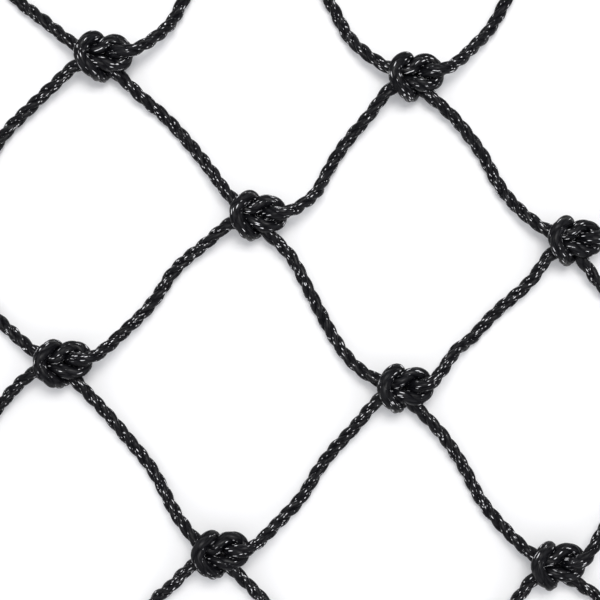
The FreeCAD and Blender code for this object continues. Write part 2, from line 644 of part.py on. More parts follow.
doc.recompute()
for item in doc.Objects:
    if "Invalid" in item.State or "Error" in item.State:
        raise RuntimeError("%s failed: %s" % (item.Label, item.State))
os.makedirs("parts", exist_ok=True)
for piece in pieces:
    if piece.Shape.isNull() or not piece.Shape.isValid():
        raise RuntimeError("%s has no valid shape" % piece.Label)
    piece.Shape.exportStep("parts/%s.step" % piece.Label)

print("twine lengths", {number: round(length) for number, length in twine_lengths.items()})
print("tightest twine bend, in diameters: %.2f" % (min(tightest) / TWINE))
print("border rope's length: %d" % border_length)
print("its tightest bend, in diameters: %.2f" % (min(border_radii) / 2 / BORDER_RADIUS))
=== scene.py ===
import bpy
import math
import numpy as np
from mathutils import Matrix, Vector


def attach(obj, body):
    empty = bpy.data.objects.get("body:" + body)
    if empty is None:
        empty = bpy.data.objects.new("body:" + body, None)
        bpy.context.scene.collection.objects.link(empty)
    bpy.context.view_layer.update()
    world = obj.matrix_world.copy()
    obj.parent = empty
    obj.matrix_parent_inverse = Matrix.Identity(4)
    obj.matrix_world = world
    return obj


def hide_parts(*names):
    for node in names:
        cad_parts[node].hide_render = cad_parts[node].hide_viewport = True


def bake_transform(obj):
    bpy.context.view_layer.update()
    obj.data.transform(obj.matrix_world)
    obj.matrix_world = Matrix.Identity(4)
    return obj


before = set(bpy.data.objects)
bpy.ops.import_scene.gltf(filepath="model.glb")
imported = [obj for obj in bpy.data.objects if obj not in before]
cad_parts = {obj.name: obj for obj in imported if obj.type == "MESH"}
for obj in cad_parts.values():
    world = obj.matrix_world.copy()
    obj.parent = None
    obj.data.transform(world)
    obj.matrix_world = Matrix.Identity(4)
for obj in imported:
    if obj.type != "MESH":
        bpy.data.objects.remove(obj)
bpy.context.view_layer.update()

# ---------------------------------------------------------------------------------------------
# The camera.
# It hangs straight above a little more than two meshes of the net and looks square down on them.
VIEW_CENTRE = Vector((-0.0275, 0.0075, 0.020))
VIEW_WIDTH = 0.600
LENS = 85.0
SENSOR = 36.0

camera_data = bpy.data.cameras.new("camera")
camera_data.lens = LENS
camera_data.sensor_width = SENSOR
camera = bpy.data.objects.new("camera", camera_data)
camera.location = VIEW_CENTRE + Vector((0, 0, VIEW_WIDTH * LENS / SENSOR))
bpy.context.scene.collection.objects.link(camera)
bpy.context.scene.camera = camera

# ---------------------------------------------------------------------------------------------
# The mesh twines.
# Seven lengths of black three-strand polyethylene rope, each run in a zigzag down the net,
# knotted to the twines either side of it with mesh knots and hitched to the border rope.
MM = 0.001
TWINE = 12.0 * MM
BORDER_RADIUS = 8.0 * MM
STEP = 160.0 * MM                # half the diagonal of one diamond
KNOT_UNIT = 1.05 * TWINE
HALF_NET = 3.5 * STEP
LAST_COLUMN = 7                  # columns 1 to 6 hold knots, 0 and 7 are the side borders
FOLD_SLOPE = 0.06
MID_RUN = 16.0 * MM
FOLD_HEIGHT = BORDER_RADIUS
WRAP_RADIUS = (BORDER_RADIUS + TWINE / 2 + 0.4 * MM) / math.cos(math.radians(30))
HITCH_HEIGHT = WRAP_RADIUS + TWINE / 2
TURN_PITCH = TWINE + 0.7 * MM
END_HITCH_INSET = 80.0 * MM
PAIR_OFFSET = 19.0 * MM
TURN_INSET = TWINE               # from the border rope's middle in to where a bar is aimed
TWINE_LAY = 50.0 * MM            # one full turn of the strands

# An end hitch, in millimetres. The lead and the tail give reach along the bar and height, and the
# loop gives place along the border, inwards and up in wrap radii.
END_LEAD = [(40.0, -5.0), (18.0, 7.0)]
END_LOOP = [(0, 6, 0.98), (2, -12, 0.7), (5, -16.5, -0.25), (8.5, -7, -0.97), (11, 9, -0.97)]
END_TAIL = [(18.0, -14.5), (36.0, -9.0), (54.0, -10.5)]

# A side hitch's turns are worked out. These lead in: along, inwards, and up in wrap radii.
SIDE_LEAD = [(-38.0, 46.0, 0.12), (-21.0, 26.0, 0.8)]
SIDE_FIRST, SIDE_LAST, SIDE_TURN_STEP = 75, 615, 60

# One mesh knot: the bight comes from the left and turns back, the hitch comes from the right,
# goes down through the bight, round behind it, over its two legs and out under itself.
BIGHT = [
    (-4.1, 2.3, -0.9), (-2.5, 0.95, -0.4), (-1.25, 0.35, -0.2), (-0.25, 0.3, 0.05),
    (0.45, 1.05, -0.1), (1.3, 1.1, -0.35), (1.85, 0.55, -0.45), (1.95, -0.2, -0.35),
    (1.55, -0.8, -0.15), (0.8, -0.9, 0.1), (-0.1, -0.65, 0.2), (-1.1, -0.6, -0.25),
    (-2.25, -1.2, -0.4), (-3.6, -2.9, -0.9),
]
HITCH = [
    (4.8, 1.9, -0.6), (3.3, 0.6, 0.2), (2.2, 0.1, 0.7), (1.3, 0.15, 0.55), (0.7, 0.05, -0.2),
    (0.9, 0.1, -1.15), (0.7, -0.4, -1.75), (0.3, -1.05, -1.85), (-0.15, -1.55, -1.4),
    (-0.4, -1.6, -0.4), (-0.75, -1.4, 0.45), (-1.4, -0.75, 0.85), (-1.65, 0.1, 0.8),
    (-1.3, 0.85, 0.7), (-0.65, 1.35, 0.2), (-0.35, 1.25, -0.7), (-0.2, 0.6, -1.15),
    (0.0, -0.45, -1.0), (0.65, -1.15, -0.75), (1.6, -2.1, -0.85), (3.0, -3.6, -1.05),
]
KNOT_HEIGHT = TWINE / 2 - min(point[2] for point in HITCH) * KNOT_UNIT

# How far each knot lies from its place in an even net, in millimetres, and how far it is turned.
KNOT_SHIFTS = {
    (1, 1): (12, -5), (1, 2): (-16, 12), (1, 3): (-32, 14),
    (2, 1): (16, 12), (2, 2): (-25, 26), (2, 3): (-26, 18),
    (3, 1): (14, 2), (3, 2): (9, 13), (3, 3): (-28, -4),
    (4, 1): (6, -8), (4, 2): (-5, 1), (4, 3): (-22, -8),
    (5, 1): (12, -18), (5, 2): (4, -12), (5, 3): (-13, -15),
    (6, 1): (2, -23), (6, 2): (7, -13), (6, 3): (-18, 5),
}
KNOT_TURNS = {
    (1, 1): -8, (1, 2): 4, (1, 3): -5, (2, 1): 0, (2, 2): 5, (2, 3): -6,
    (3, 1): 3, (3, 2): -4, (3, 3): 5, (4, 1): 2, (4, 2): -2, (4, 3): 6,
    (5, 1): -4, (5, 2): -3, (5, 3): 2, (6, 1): 5, (6, 2): -6, (6, 3): 3,
}

# How far each knot's four bars lean round it, in degrees anticlockwise: the bight's two, from the
# upper left and to the lower left, then the hitch's two, from the upper right and to the lower right.
BAR_LEANS = {
    (1, 1): (-6, 4, 0, 3), (1, 2): (4, -5, 5, 0), (1, 3): (-3, 6, -4, 4),
    (2, 1): (0, -8, 0, 3), (2, 2): (-6, -14, -2, -5), (2, 3): (5, 0, 4, -4),
    (3, 1): (-4, 5, 6, -3), (3, 2): (-10, -5, 2, 4), (3, 3): (-16, -8, 0, -3),
    (4, 1): (1, 1, 1, 3), (4, 2): (6, 3, 15, 2), (4, 3): (-4, 5, -6, 4),
    (5, 1): (5, -6, 0, 4), (5, 2): (3, 11, 5, -4), (5, 3): (-6, 6, 14, 10),
    (6, 1): (-5, 0, 4, 0), (6, 2): (3, -6, 0, 5), (6, 3): (0, 4, -5, 3),
}
FOLD_SHIFTS = [-18.0, 0.0, 0.0, 0.0, 4.0]

# How far each bar of a twine bows to the right of its way down, before and after its middle.
BOWS = {
    1: [(0, 4), (-4, -8), (6, 12), (-4, -10), (8, 14), (-4, -8), (0, 0)],
    2: [(-4, -10), (8, 15), (8, -4), (8, 17), (14, -5), (5, 12), (-3, -5)],
    3: [(4, 10), (-8, -20), (-2, -2), (8, -7), (0, 4), (6, -6), (3, 0)],
    4: [(-3, -10), (12, 21), (-6, -18), (12, 19), (-4, -17), (9, 14), (-4, -4)],
    5: [(3, 9), (-6, -17), (2, 13), (-6, -11), (5, 15), (-3, -12), (4, 2)],
    6: [(-4, -9), (5, 14), (-4, -12), (2, 12), (-4, -14), (-2, 8), (-3, -6)],
    7: [(3, 0), (-4, -8), (4, 10), (-3, -10), (5, 12), (-4, -9), (2, 4)],
}


def fold_x(fold, y):
    """The place across the net of a fold line, at a height up the net."""
    return (fold - 3) * STEP + FOLD_SHIFTS[fold - 1] * MM + FOLD_SLOPE * (y - STEP / 2)


def row_y(column, row):
    """The height of a row of knots: the rows of even columns lie one step lower."""
    return (4.5 - 2 * row - (column + 1) % 2) * STEP


def column_x(column, y):
    """The line that a column of knots leans along."""
    return (column - 3.5) * STEP + FOLD_SLOPE * (y - STEP / 2)


def knot_place(column, row):
    across, up = KNOT_SHIFTS[(column, row)]
    return Vector(((column - 3.5) * STEP + across * MM, row_y(column, row) + up * MM, KNOT_HEIGHT))


def knot_points(column, row, points):
    """One side of a knot. The two points at each of its ends lean with their bar, and the third
    one leans half as far."""
    leans = BAR_LEANS[(column, row)][:2] if points is BIGHT else BAR_LEANS[(column, row)][2:]
    shares = [1, 1, 0.5] + [0] * (len(points) - 3)
    places = []
    for point, first_share, last_share in zip(points, shares, reversed(shares)):
        lean = leans[0] * first_share + leans[1] * last_share
        turn = Matrix.Rotation(math.radians(KNOT_TURNS[(column, row)] + lean), 3, "Z")
        places.append(knot_place(column, row) + turn @ Vector(point) * KNOT_UNIT)
    return places


def side_turns(column, row):
    """A turn and a half round a side border: over it, round, and out under it, on the way down."""
    inwards = 1 if column == 0 else -1
    centre = Vector((-inwards * HALF_NET, row_y(column, row), HITCH_HEIGHT))
    places = [(along * MM, inward * MM, up * WRAP_RADIUS) for along, inward, up in SIDE_LEAD]
    for angle in range(SIDE_FIRST, SIDE_LAST + 1, SIDE_TURN_STEP):
        along = TURN_PITCH * ((angle - SIDE_FIRST) / 360 - 0.75)
        radians = math.radians(angle)
        places.append((along, WRAP_RADIUS * math.cos(radians), WRAP_RADIUS * math.sin(radians)))
    places.append((21 * MM, 26 * MM, -0.95 * WRAP_RADIUS))
    places.append((38 * MM, 46 * MM, FOLD_HEIGHT - HITCH_HEIGHT))
    return [centre + Vector((inwards * inward, -along, up)) for along, inward, up in places]


def end_hitch_frame(column, towards):
    """An end hitch's centre on the top or bottom border, its two directions, and its bar's."""
    at_top = column % 2 == 0
    inwards = Vector((0, -1 if at_top else 1, 0))
    border_y = HALF_NET if at_top else -HALF_NET
    if column in (0, LAST_COLUMN):
        x = (-1 if column == 0 else 1) * (HALF_NET - END_HITCH_INSET)
    else:
        x = column_x(column, border_y)
        x += PAIR_OFFSET if towards.x > x else -PAIR_OFFSET
    centre = Vector((x, border_y, HITCH_HEIGHT))
    sideways = Vector((-1 if towards.x > x else 1, 0, 0))
    pivot = centre + inwards * TURN_INSET
    bar = Vector((towards.x - pivot.x, towards.y - pivot.y, 0)).normalized()
    beside = Vector((-bar.y, bar.x, 0))
    beside *= 1 if beside.dot(sideways) > 0 else -1
    return centre, sideways, inwards, pivot, bar, beside


def end_hitch(column, towards):
    """From the bar, over the border rope, round it and back beside the bar as a short end."""
    centre, sideways, inwards, pivot, bar, beside = end_hitch_frame(column, towards)
    up = Vector((0, 0, 1))
    points = [pivot + (bar * reach + up * height) * MM for reach, height in END_LEAD]
    for along, inward, height in END_LOOP:
        place = (sideways * along + inwards * inward) * MM + up * height * WRAP_RADIUS
        points.append(centre + place)
    for reach, height in END_TAIL:
        points.append(pivot + beside * TURN_PITCH + (bar * reach + up * height) * MM)
    return points


def bar_middle(start, end, bows, fold):
    """The two points of a bar either side of the fold that it crosses."""
    along = Vector((end.x - start.x, end.y - start.y, 0))
    direction = along.normalized()
    right = Vector((direction.y, -direction.x, 0)) * MM
    bow = right * (sum(bows) / 2)
    share = 0.5
    if fold:
        for _ in range(5):
            y = start.y + share * along.y + bow.y
            share = (fold_x(fold, y) - start.x - bow.x) / along.x
    middle = Vector((start.x + share * along.x, start.y + share * along.y, FOLD_HEIGHT))
    reach = direction * MID_RUN
    return [middle - reach + right * bows[0], middle + reach + right * bows[1]]


def stop_place(column, row):
    """Where a twine turns back: at a knot, or round a side border."""
    if column in (0, LAST_COLUMN):
        inwards = 1 if column == 0 else -1
        return Vector((-inwards * (HALF_NET - TURN_INSET), row_y(column, row), HITCH_HEIGHT))
    return knot_place(column, row)


def twine_columns(number):
    """The even and the odd column of the two that a twine runs between."""
    left, right = number - 1, number
    return (left, right) if left % 2 == 0 else (right, left)


def twine_route(number):
    """The points of one zigzag twine from the top border to the bottom one."""
    left, right = number - 1, number
    even, odd = twine_columns(number)
    fold = left if 1 <= left < LAST_COLUMN - 1 else 0
    stops = [(column, row) for row in (1, 2, 3) for column in (odd, even)]
    places = [stop_place(*stop) for stop in stops]
    groups = [list(reversed(end_hitch(even, places[0])))]
    for column, row in stops:
        if column in (0, LAST_COLUMN):
            groups.append(side_turns(column, row))
        else:
            groups.append(knot_points(column, row, BIGHT if column == right else HITCH))
    groups.append(end_hitch(odd, places[-1]))
    first, last = end_hitch_frame(even, places[0])[3], end_hitch_frame(odd, places[-1])[3]
    anchors = [first] + places + [last]
    route = list(groups[0])
    for index, bows in enumerate(BOWS[number]):
        route += bar_middle(anchors[index], anchors[index + 1], bows, fold) + groups[index + 1]
    return route


def smooth_line(name, route):
    """The line that a rope takes along its route, as points read from its NURBS spline."""
    data = bpy.data.curves.new(name + "_line", "CURVE")
    data.dimensions = "3D"
    spline = data.splines.new("NURBS")
    spline.points.add(len(route) - 1)
    for point, place in zip(spline.points, route):
        point.co = (place.x, place.y, place.z, 1.0)
    spline.order_u = 3
    spline.use_endpoint_u = True
    guide = bpy.data.objects.new(name + "_line", data)
    mesh = bpy.data.meshes.new_from_object(guide)
    line = np.array([vertex.co for vertex in mesh.vertices], float)
    bpy.data.objects.remove(guide)
    bpy.data.curves.remove(data)
    bpy.data.meshes.remove(mesh)
    return line


def even_points(line, step):
    """Points a step apart along a line."""
    runs = np.linalg.norm(np.diff(line, axis=0), axis=1)
    along = np.concatenate([[0.0], np.cumsum(runs)])
    places = np.linspace(0.0, along[-1], max(3, round(along[-1] / step)))
    points = np.stack([np.interp(places, along, line[:, axis]) for axis in range(3)], axis=1)
    return points, places


def carried_frames(points):
    """A direction across the line at each point, carried along without twist, and a third."""
    tangents = np.gradient(points, axis=0)
    tangents /= np.linalg.norm(tangents, axis=1)[:, None]
    across = np.zeros_like(points)
    guess = np.array([0.0, 0.0, 1.0]) if abs(tangents[0][2]) < 0.8 else np.array([1.0, 0.0, 0.0])
    for index, tangent in enumerate(tangents):
        guess = guess - tangent * guess.dot(tangent)
        guess = guess / np.linalg.norm(guess)
        across[index] = guess
    return tangents, across, np.cross(tangents, across)


STRAND_ANGLES = np.radians([-60, -54, -42, -28, -14, 0, 14, 28, 42, 54])
STRAND_CENTRE = 0.47             # from the rope's middle to each strand's, in rope radii
KNOT_REACH = 34 * MM             # a knot's pull starts this far from its middle
KNOT_FADE = 10 * MM
KNOT_SWELL = 0.10                # how much wider the rope is inside a knot
LAY_SLACK = ((0.10, 2.3), (0.05, 0.61))              # radians, and the lays it changes over
STRAND_SWELL = ((0.035, 0.83, 2.1), (0.02, 0.29, 1.3))    # share, lays, and start by strand
SEAL_ANGLES = np.radians([25, 45, 62, 77])
SEAL_DEPTH = 0.45                # of a melted end, in rope radii
GROOVES_FILLED = 0.55            # and how much of its grooves is gone


def tightness(points):
    """How hard the rope is pulled together at each point: 1 in the heart of a knot, 0 on a bar."""
    knots = np.array([knot_place(*stop) for stop in KNOT_SHIFTS])
    away = np.linalg.norm(points[:, None, :2] - knots[None, :, :2], axis=2).min(axis=1)
    return np.clip((KNOT_REACH - away) / KNOT_FADE, 0.0, 1.0)


def rope_rings(points, places, radius, lay, start_turn, tight):
    """The outline of three laid strands at each point, turning right-handed along the rope.
    Where the rope is tight its yarns spread, so that it is wider and its grooves are shallow."""
    tangents, across, third = carried_frames(points)
    strand_radius = 1 - STRAND_CENTRE
    reach = STRAND_CENTRE * np.cos(STRAND_ANGLES)
    reach = reach + np.sqrt(strand_radius ** 2 - (STRAND_CENTRE * np.sin(STRAND_ANGLES)) ** 2)
    (slow, slow_lays), (quick, quick_lays) = LAY_SLACK
    slack = slow * np.sin(places / (slow_lays * lay) + start_turn)
    slack = slack + quick * np.sin(places / (quick_lays * lay))
    turn = start_turn + 2 * math.pi * places / lay + slack
    crown = (reach - reach.min()) / (reach.max() - reach.min())
    rings, laid = [], []
    for strand in range(3):
        (slow, slow_lays, slow_start), (quick, quick_lays, quick_start) = STRAND_SWELL
        swell = 1 + slow * np.sin(places / (slow_lays * lay) + slow_start * strand + start_turn)
        swell = swell + quick * np.sin(places / (quick_lays * lay) + quick_start * strand)
        angle = turn[:, None] + strand * 2 * math.pi / 3 + STRAND_ANGLES[None, :]
        filled = reach[None, :] + (1 - reach[None, :]) * GROOVES_FILLED * tight[:, None]
        size = radius * filled * (swell * (1 + KNOT_SWELL * tight))[:, None]
        ring = points[:, None, :] + across[:, None, :] * (np.cos(angle) * size)[:, :, None]
        ring = ring + third[:, None, :] * (np.sin(angle) * size)[:, :, None]
        rings.append(ring)
        along = np.broadcast_to(places[:, None], size.shape)
        laid.append(np.stack([np.cos(angle) * size, np.sin(angle) * size, along], axis=2))
    return np.concatenate(rings, axis=1), np.concatenate(laid, axis=1), np.tile(crown, 3), tangents


def sealed_end(rings, laid, tangents, radius, at_start):
    """A few rings more, drawn in to the blunt round end that melting leaves."""
    index, outwards = (0, -tangents[0]) if at_start else (-1, tangents[-1])
    middle = rings[index].mean(axis=0)
    more_rings, more_laid = [], []
    for angle in SEAL_ANGLES:
        round_ring = middle + (rings[index] - middle) * math.cos(angle)
        more_rings.append(round_ring + outwards * SEAL_DEPTH * radius * math.sin(angle))
        more_laid.append(laid[index] * np.array([math.cos(angle), math.cos(angle), 1.0]))
    if at_start:
        more_rings.reverse()
        more_laid.reverse()
        return np.concatenate([more_rings, rings]), np.concatenate([more_laid, laid])
    return np.concatenate([rings, more_rings]), np.concatenate([laid, more_laid])


def rope_piece(name, parts):
    """A closed mesh of one or more stretches of rope, each given as its rings."""
    places, faces, laid_all, crown_all = [], [], [], []
    for rings, laid, crown in parts:
        start = len(places)
        count, around = rings.shape[:2]
        places += rings.reshape(-1, 3).tolist()
        laid_all += laid.reshape(-1, 3).tolist()
        crown_all += np.tile(crown, count).tolist()
        for ring in range(count - 1):
            low, high = start + ring * around, start + (ring + 1) * around
            for place in range(around):
                beside = (place + 1) % around
                faces.append((low + place, low + beside, high + beside, high + place))
        for ring, flip in ((0, True), (count - 1, False)):
            middle = len(places)
            places.append(rings[ring].mean(axis=0).tolist())
            laid_all.append(laid[ring].mean(axis=0).tolist())
            crown_all.append(0.5)
            low = start + ring * around
            for place in range(around):
                pair = (low + place, low + (place + 1) % around)
                faces.append((pair[1], pair[0], middle) if flip else (pair[0], pair[1], middle))
    mesh = bpy.data.meshes.new(name)
    mesh.from_pydata(places, [], faces)
    mesh.shade_smooth()
    mesh.attributes.new("laid", "FLOAT_VECTOR", "POINT")
    mesh.attributes["laid"].data.foreach_set("vector", np.array(laid_all, np.float32).ravel())
    mesh.attributes.new("crown", "FLOAT", "POINT")
    mesh.attributes["crown"].data.foreach_set("value", np.array(crown_all, np.float32))
    piece = bpy.data.objects.new(name, mesh)
    bpy.context.scene.collection.objects.link(piece)
    return piece


def fibre_group():
    """Drawn filaments lying along a rope: ridges, a slow change of gloss, and painted highlights,
    short glints that show on the strands' crowns.
    """
    group = bpy.data.node_groups.new("drawn_filaments", "ShaderNodeTree")
    sockets = group.interface
    sockets.new_socket("Along Rope", in_out="INPUT", socket_type="NodeSocketVector")
    sockets.new_socket("Crown", in_out="INPUT", socket_type="NodeSocketFloat")
    sockets.new_socket("Filament Width", in_out="INPUT", socket_type="NodeSocketFloat")
    sockets.new_socket("Filament Length", in_out="INPUT", socket_type="NodeSocketFloat")
    sockets.new_socket("Glint Share", in_out="INPUT", socket_type="NodeSocketFloat")
    sockets.new_socket("Ridges", in_out="OUTPUT", socket_type="NodeSocketFloat")
    sockets.new_socket("Gloss", in_out="OUTPUT", socket_type="NodeSocketFloat")
    sockets.new_socket("Painted Glints", in_out="OUTPUT", socket_type="NodeSocketFloat")
    nodes, links = group.nodes, group.links
    given = nodes.new("NodeGroupInput")
    result = nodes.new("NodeGroupOutput")
    size = nodes.new("ShaderNodeCombineXYZ")
    links.new(given.outputs["Filament Width"], size.inputs["X"])
    links.new(given.outputs["Filament Width"], size.inputs["Y"])
    links.new(given.outputs["Filament Length"], size.inputs["Z"])
    scaled = nodes.new("ShaderNodeVectorMath")
    scaled.operation = "DIVIDE"
    links.new(given.outputs["Along Rope"], scaled.inputs[0])
    links.new(size.outputs["Vector"], scaled.inputs[1])
    cells = nodes.new("ShaderNodeTexVoronoi")
    cells.inputs["Scale"].default_value = 1.0
    links.new(scaled.outputs["Vector"], cells.inputs["Vector"])
    ridge = nodes.new("ShaderNodeMapRange")
    ridge.inputs["From Min"].default_value = 0.1
    ridge.inputs["From Max"].default_value = 0.8
    ridge.inputs["To Min"].default_value = 1.0
    ridge.inputs["To Max"].default_value = 0.0
    links.new(cells.outputs["Distance"], ridge.inputs["Value"])
    links.new(ridge.outputs["Result"], result.inputs["Ridges"])
    noise = nodes.new("ShaderNodeTexNoise")
    noise.inputs["Scale"].default_value = 0.6
    noise.inputs["Detail"].default_value = 3.0
    links.new(scaled.outputs["Vector"], noise.inputs["Vector"])
    links.new(noise.outputs["Fac"], result.inputs["Gloss"])
    # Painted highlights: a few filament cells, near their cores, become short bright glints.
    chance = nodes.new("ShaderNodeSeparateColor")
    links.new(cells.outputs["Color"], chance.inputs["Color"])
    rarity = nodes.new("ShaderNodeMath")
    rarity.operation = "LESS_THAN"
    links.new(chance.outputs["Red"], rarity.inputs[0])
    links.new(given.outputs["Glint Share"], rarity.inputs[1])
    core = nodes.new("ShaderNodeMapRange")
    core.inputs["From Min"].default_value = 0.25
    core.inputs["From Max"].default_value = 0.5
    core.inputs["To Min"].default_value = 1.0
    core.inputs["To Max"].default_value = 0.0
    links.new(cells.outputs["Distance"], core.inputs["Value"])
    dash = nodes.new("ShaderNodeMath")
    dash.operation = "MULTIPLY"
    links.new(rarity.outputs["Value"], dash.inputs[0])
    links.new(core.outputs["Result"], dash.inputs[1])
    # The painted glints show on the strands' crowns and fade out into the grooves.
    wear_and_crown_glints = nodes.new("ShaderNodeMapRange")
    wear_and_crown_glints.inputs["From Min"].default_value = 0.05
    wear_and_crown_glints.inputs["From Max"].default_value = 0.45
    links.new(given.outputs["Crown"], wear_and_crown_glints.inputs["Value"])
    shown = nodes.new("ShaderNodeMath")
    shown.operation = "MULTIPLY"
    links.new(dash.outputs["Value"], shown.inputs[0])
    links.new(wear_and_crown_glints.outputs["Result"], shown.inputs[1])
    links.new(shown.outputs["Value"], result.inputs["Painted Glints"])
    return group


FILAMENTS = fibre_group()


def rope_material(name, width, length, share, dark, pale, painted_glint, ridge_depth):
    """Black polyethylene filaments, with painted highlights: near-white glints, and a base colour
    that pales a little where the filaments are glossier, a painted sheen.
    """
    material = bpy.data.materials.new(name)
    material.use_nodes = True
    nodes, links = material.node_tree.nodes, material.node_tree.links
    shader = nodes["Principled BSDF"]
    shader.inputs["Specular IOR Level"].default_value = 0.06
    shader.inputs["Coat Roughness"].default_value = 0.35
    laid = nodes.new("ShaderNodeAttribute")
    laid.attribute_name = "laid"
    crown = nodes.new("ShaderNodeAttribute")
    crown.attribute_name = "crown"
    fibres = nodes.new("ShaderNodeGroup")
    fibres.node_tree = FILAMENTS
    fibres.inputs["Filament Width"].default_value = width
    fibres.inputs["Filament Length"].default_value = length
    fibres.inputs["Glint Share"].default_value = share
    links.new(laid.outputs["Vector"], fibres.inputs["Along Rope"])
    links.new(crown.outputs["Fac"], fibres.inputs["Crown"])
    # Painted sheen: the base colour pales a little where the filaments are glossier.
    body = nodes.new("ShaderNodeMix")
    body.data_type = "RGBA"
    body.inputs["A"].default_value = (*dark, 1.0)
    body.inputs["B"].default_value = (*pale, 1.0)
    links.new(fibres.outputs["Gloss"], body.inputs["Factor"])
    # Painted highlights: the mask of glints lays near-white dashes into the base colour.
    colour = nodes.new("ShaderNodeMix")
    colour.data_type = "RGBA"
    colour.inputs["B"].default_value = (*painted_glint, 1.0)
    links.new(fibres.outputs["Painted Glints"], colour.inputs["Factor"])
    links.new(body.outputs["Result"], colour.inputs["A"])
    links.new(colour.outputs["Result"], shader.inputs["Base Color"])
    rough = nodes.new("ShaderNodeMapRange")
    rough.inputs["From Min"].default_value = 0.3
    rough.inputs["From Max"].default_value = 0.7
    rough.inputs["To Min"].default_value = 0.52
    rough.inputs["To Max"].default_value = 0.30
    links.new(fibres.outputs["Gloss"], rough.inputs["Value"])
    links.new(rough.outputs["Result"], shader.inputs["Roughness"])
    sheen = nodes.new("ShaderNodeMapRange")
    sheen.inputs["From Min"].default_value = 0.35
    sheen.inputs["From Max"].default_value = 0.65
    sheen.inputs["To Min"].default_value = 0.0
    sheen.inputs["To Max"].default_value = 0.36
    links.new(fibres.outputs["Gloss"], sheen.inputs["Value"])
    raised = nodes.new("ShaderNodeMapRange")
    raised.inputs["From Max"].default_value = 0.5
    raised.inputs["To Min"].default_value = 0.1
    links.new(crown.outputs["Fac"], raised.inputs["Value"])
    shine = nodes.new("ShaderNodeMath")
    shine.operation = "MULTIPLY"
    links.new(sheen.outputs["Result"], shine.inputs[0])
    links.new(raised.outputs["Result"], shine.inputs[1])
    links.new(shine.outputs["Value"], shader.inputs["Coat Weight"])
    bump = nodes.new("ShaderNodeBump")
    bump.inputs["Strength"].default_value = 0.8
    bump.inputs["Distance"].default_value = ridge_depth
    links.new(fibres.outputs["Ridges"], bump.inputs["Height"])
    links.new(bump.outputs["Normal"], shader.inputs["Normal"])
    return material


# The near-white colour is the painted highlight of the glints, and the pale one a painted sheen on
# the glossier filaments.
TWINE_BLACK = rope_material(
    "black_polyethylene_twine", 0.95 * MM, 5.5 * MM, 0.13,
    (0.0005, 0.0005, 0.001), (0.006, 0.006, 0.008), (0.90, 0.90, 0.92), 0.30 * MM,
)
RING_STEP = 1.6 * MM
TWINE_CROWN = 1.09 * TWINE / 2   # the strands stand a little proud of the nominal size


def twine_nodes(number):
    stretches = ("top", "middle", "bottom") if number in (1, LAST_COLUMN) else ("hitches", "bights")
    return ["twine_%d_%s" % (number, stretch) for stretch in stretches]


def bend_at_fold(piece):
    """The rope's placement is baked into its mesh."""
    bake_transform(piece)


for number in range(1, LAST_COLUMN + 1):
    route = twine_route(number)
    line = smooth_line("twine_%d" % number, route)
    points, places = even_points(line, RING_STEP)
    rings, laid, crown, tangents = rope_rings(
        points, places, TWINE_CROWN, TWINE_LAY, 0.9 * number, tightness(points)
    )
    rings, laid = sealed_end(rings, laid, tangents, TWINE_CROWN, True)
    rings, laid = sealed_end(rings, laid, tangents, TWINE_CROWN, False)
    twine = rope_piece("mesh_twine_%d" % number, [(rings, laid, crown)])
    twine.data.materials.append(TWINE_BLACK)
    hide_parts(*twine_nodes(number))
    if number in (1, LAST_COLUMN):
        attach(twine, "strip_1" if number == 1 else "strip_6")
    else:
        bend_at_fold(twine)

# ---------------------------------------------------------------------------------------------
# The border rope.
# One thicker length of the same three-strand rope goes all the way round, through an eye at each
# corner, and a pressed sleeve on the right side joins its two ends.
EYE_RADIUS = 26.2 * MM           # from the middle of a thimble to the rope's centre
EYE_HEIGHT = 10.2 * MM
EYE_REACH = 62.0 * MM
REST_HEIGHT = 11.5 * MM
EYE_THROAT = BORDER_RADIUS + 0.2 * MM
THROAT_START, THROAT_FINISH = -12.0 * MM, 20.0 * MM
EYE_TURN_STEP = 45.0             # degrees from one point of an eye to the next
CORNER_REACH = 45.0 * MM         # the border starts to turn this far before its corner
BORDER_FOLD_HALF, REST_HALF = 13.0 * MM, 30.0 * MM
LOW_BOWS = (2.0 * MM, 3.5 * MM)  # how far a low stretch bows outwards, at its two points
LONG_RUN_BOWS = (6.0 * MM, 7.0 * MM)
BUTT_GAP = 0.5 * MM
LONGEST_BORDER_RUN = 75.0 * MM
SIDE_HALF, PAIR_HALF, SINGLE_HALF = 20.0 * MM, 34.0 * MM, 18.0 * MM
BORDER_LAY = 67.0 * MM
BORDER_CROWN = BORDER_RADIUS


def border_side(corner, along, hitches, folds, rests):
    """Points of one side of the border: up at its hitches, down at its folds and rests."""
    outwards = Vector((-along.y, along.x, 0))
    points = []
    for position, half in hitches:
        points += [(position - half, 0.0, HITCH_HEIGHT), (position + half, 0.0, HITCH_HEIGHT)]
    low = [(position, BORDER_FOLD_HALF, FOLD_HEIGHT) for position in folds]
    low += [(position, REST_HALF, REST_HEIGHT) for position in rests]
    for position, half, height in low:
        points += [(position - half, LOW_BOWS[0], height), (position + half, LOW_BOWS[1], height)]
    points.sort()
    filled = [points[0]]
    for point in points[1:]:
        before = filled[-1]
        gap = point[0] - before[0]
        if gap > LONGEST_BORDER_RUN:
            height = min(point[2], before[2])
            filled.append((before[0] + 0.35 * gap, LONG_RUN_BOWS[0], height))
            filled.append((before[0] + 0.7 * gap, LONG_RUN_BOWS[1], height))
        filled.append(point)
    middle = corner + along * HALF_NET
    return [middle + along * place + outwards * out + Vector((0, 0, up)) for place, out, up in filled]


def corner_frame(before, after):
    """A corner's outward diagonal and the direction across it."""
    return (before - after).normalized(), (before + after).normalized()


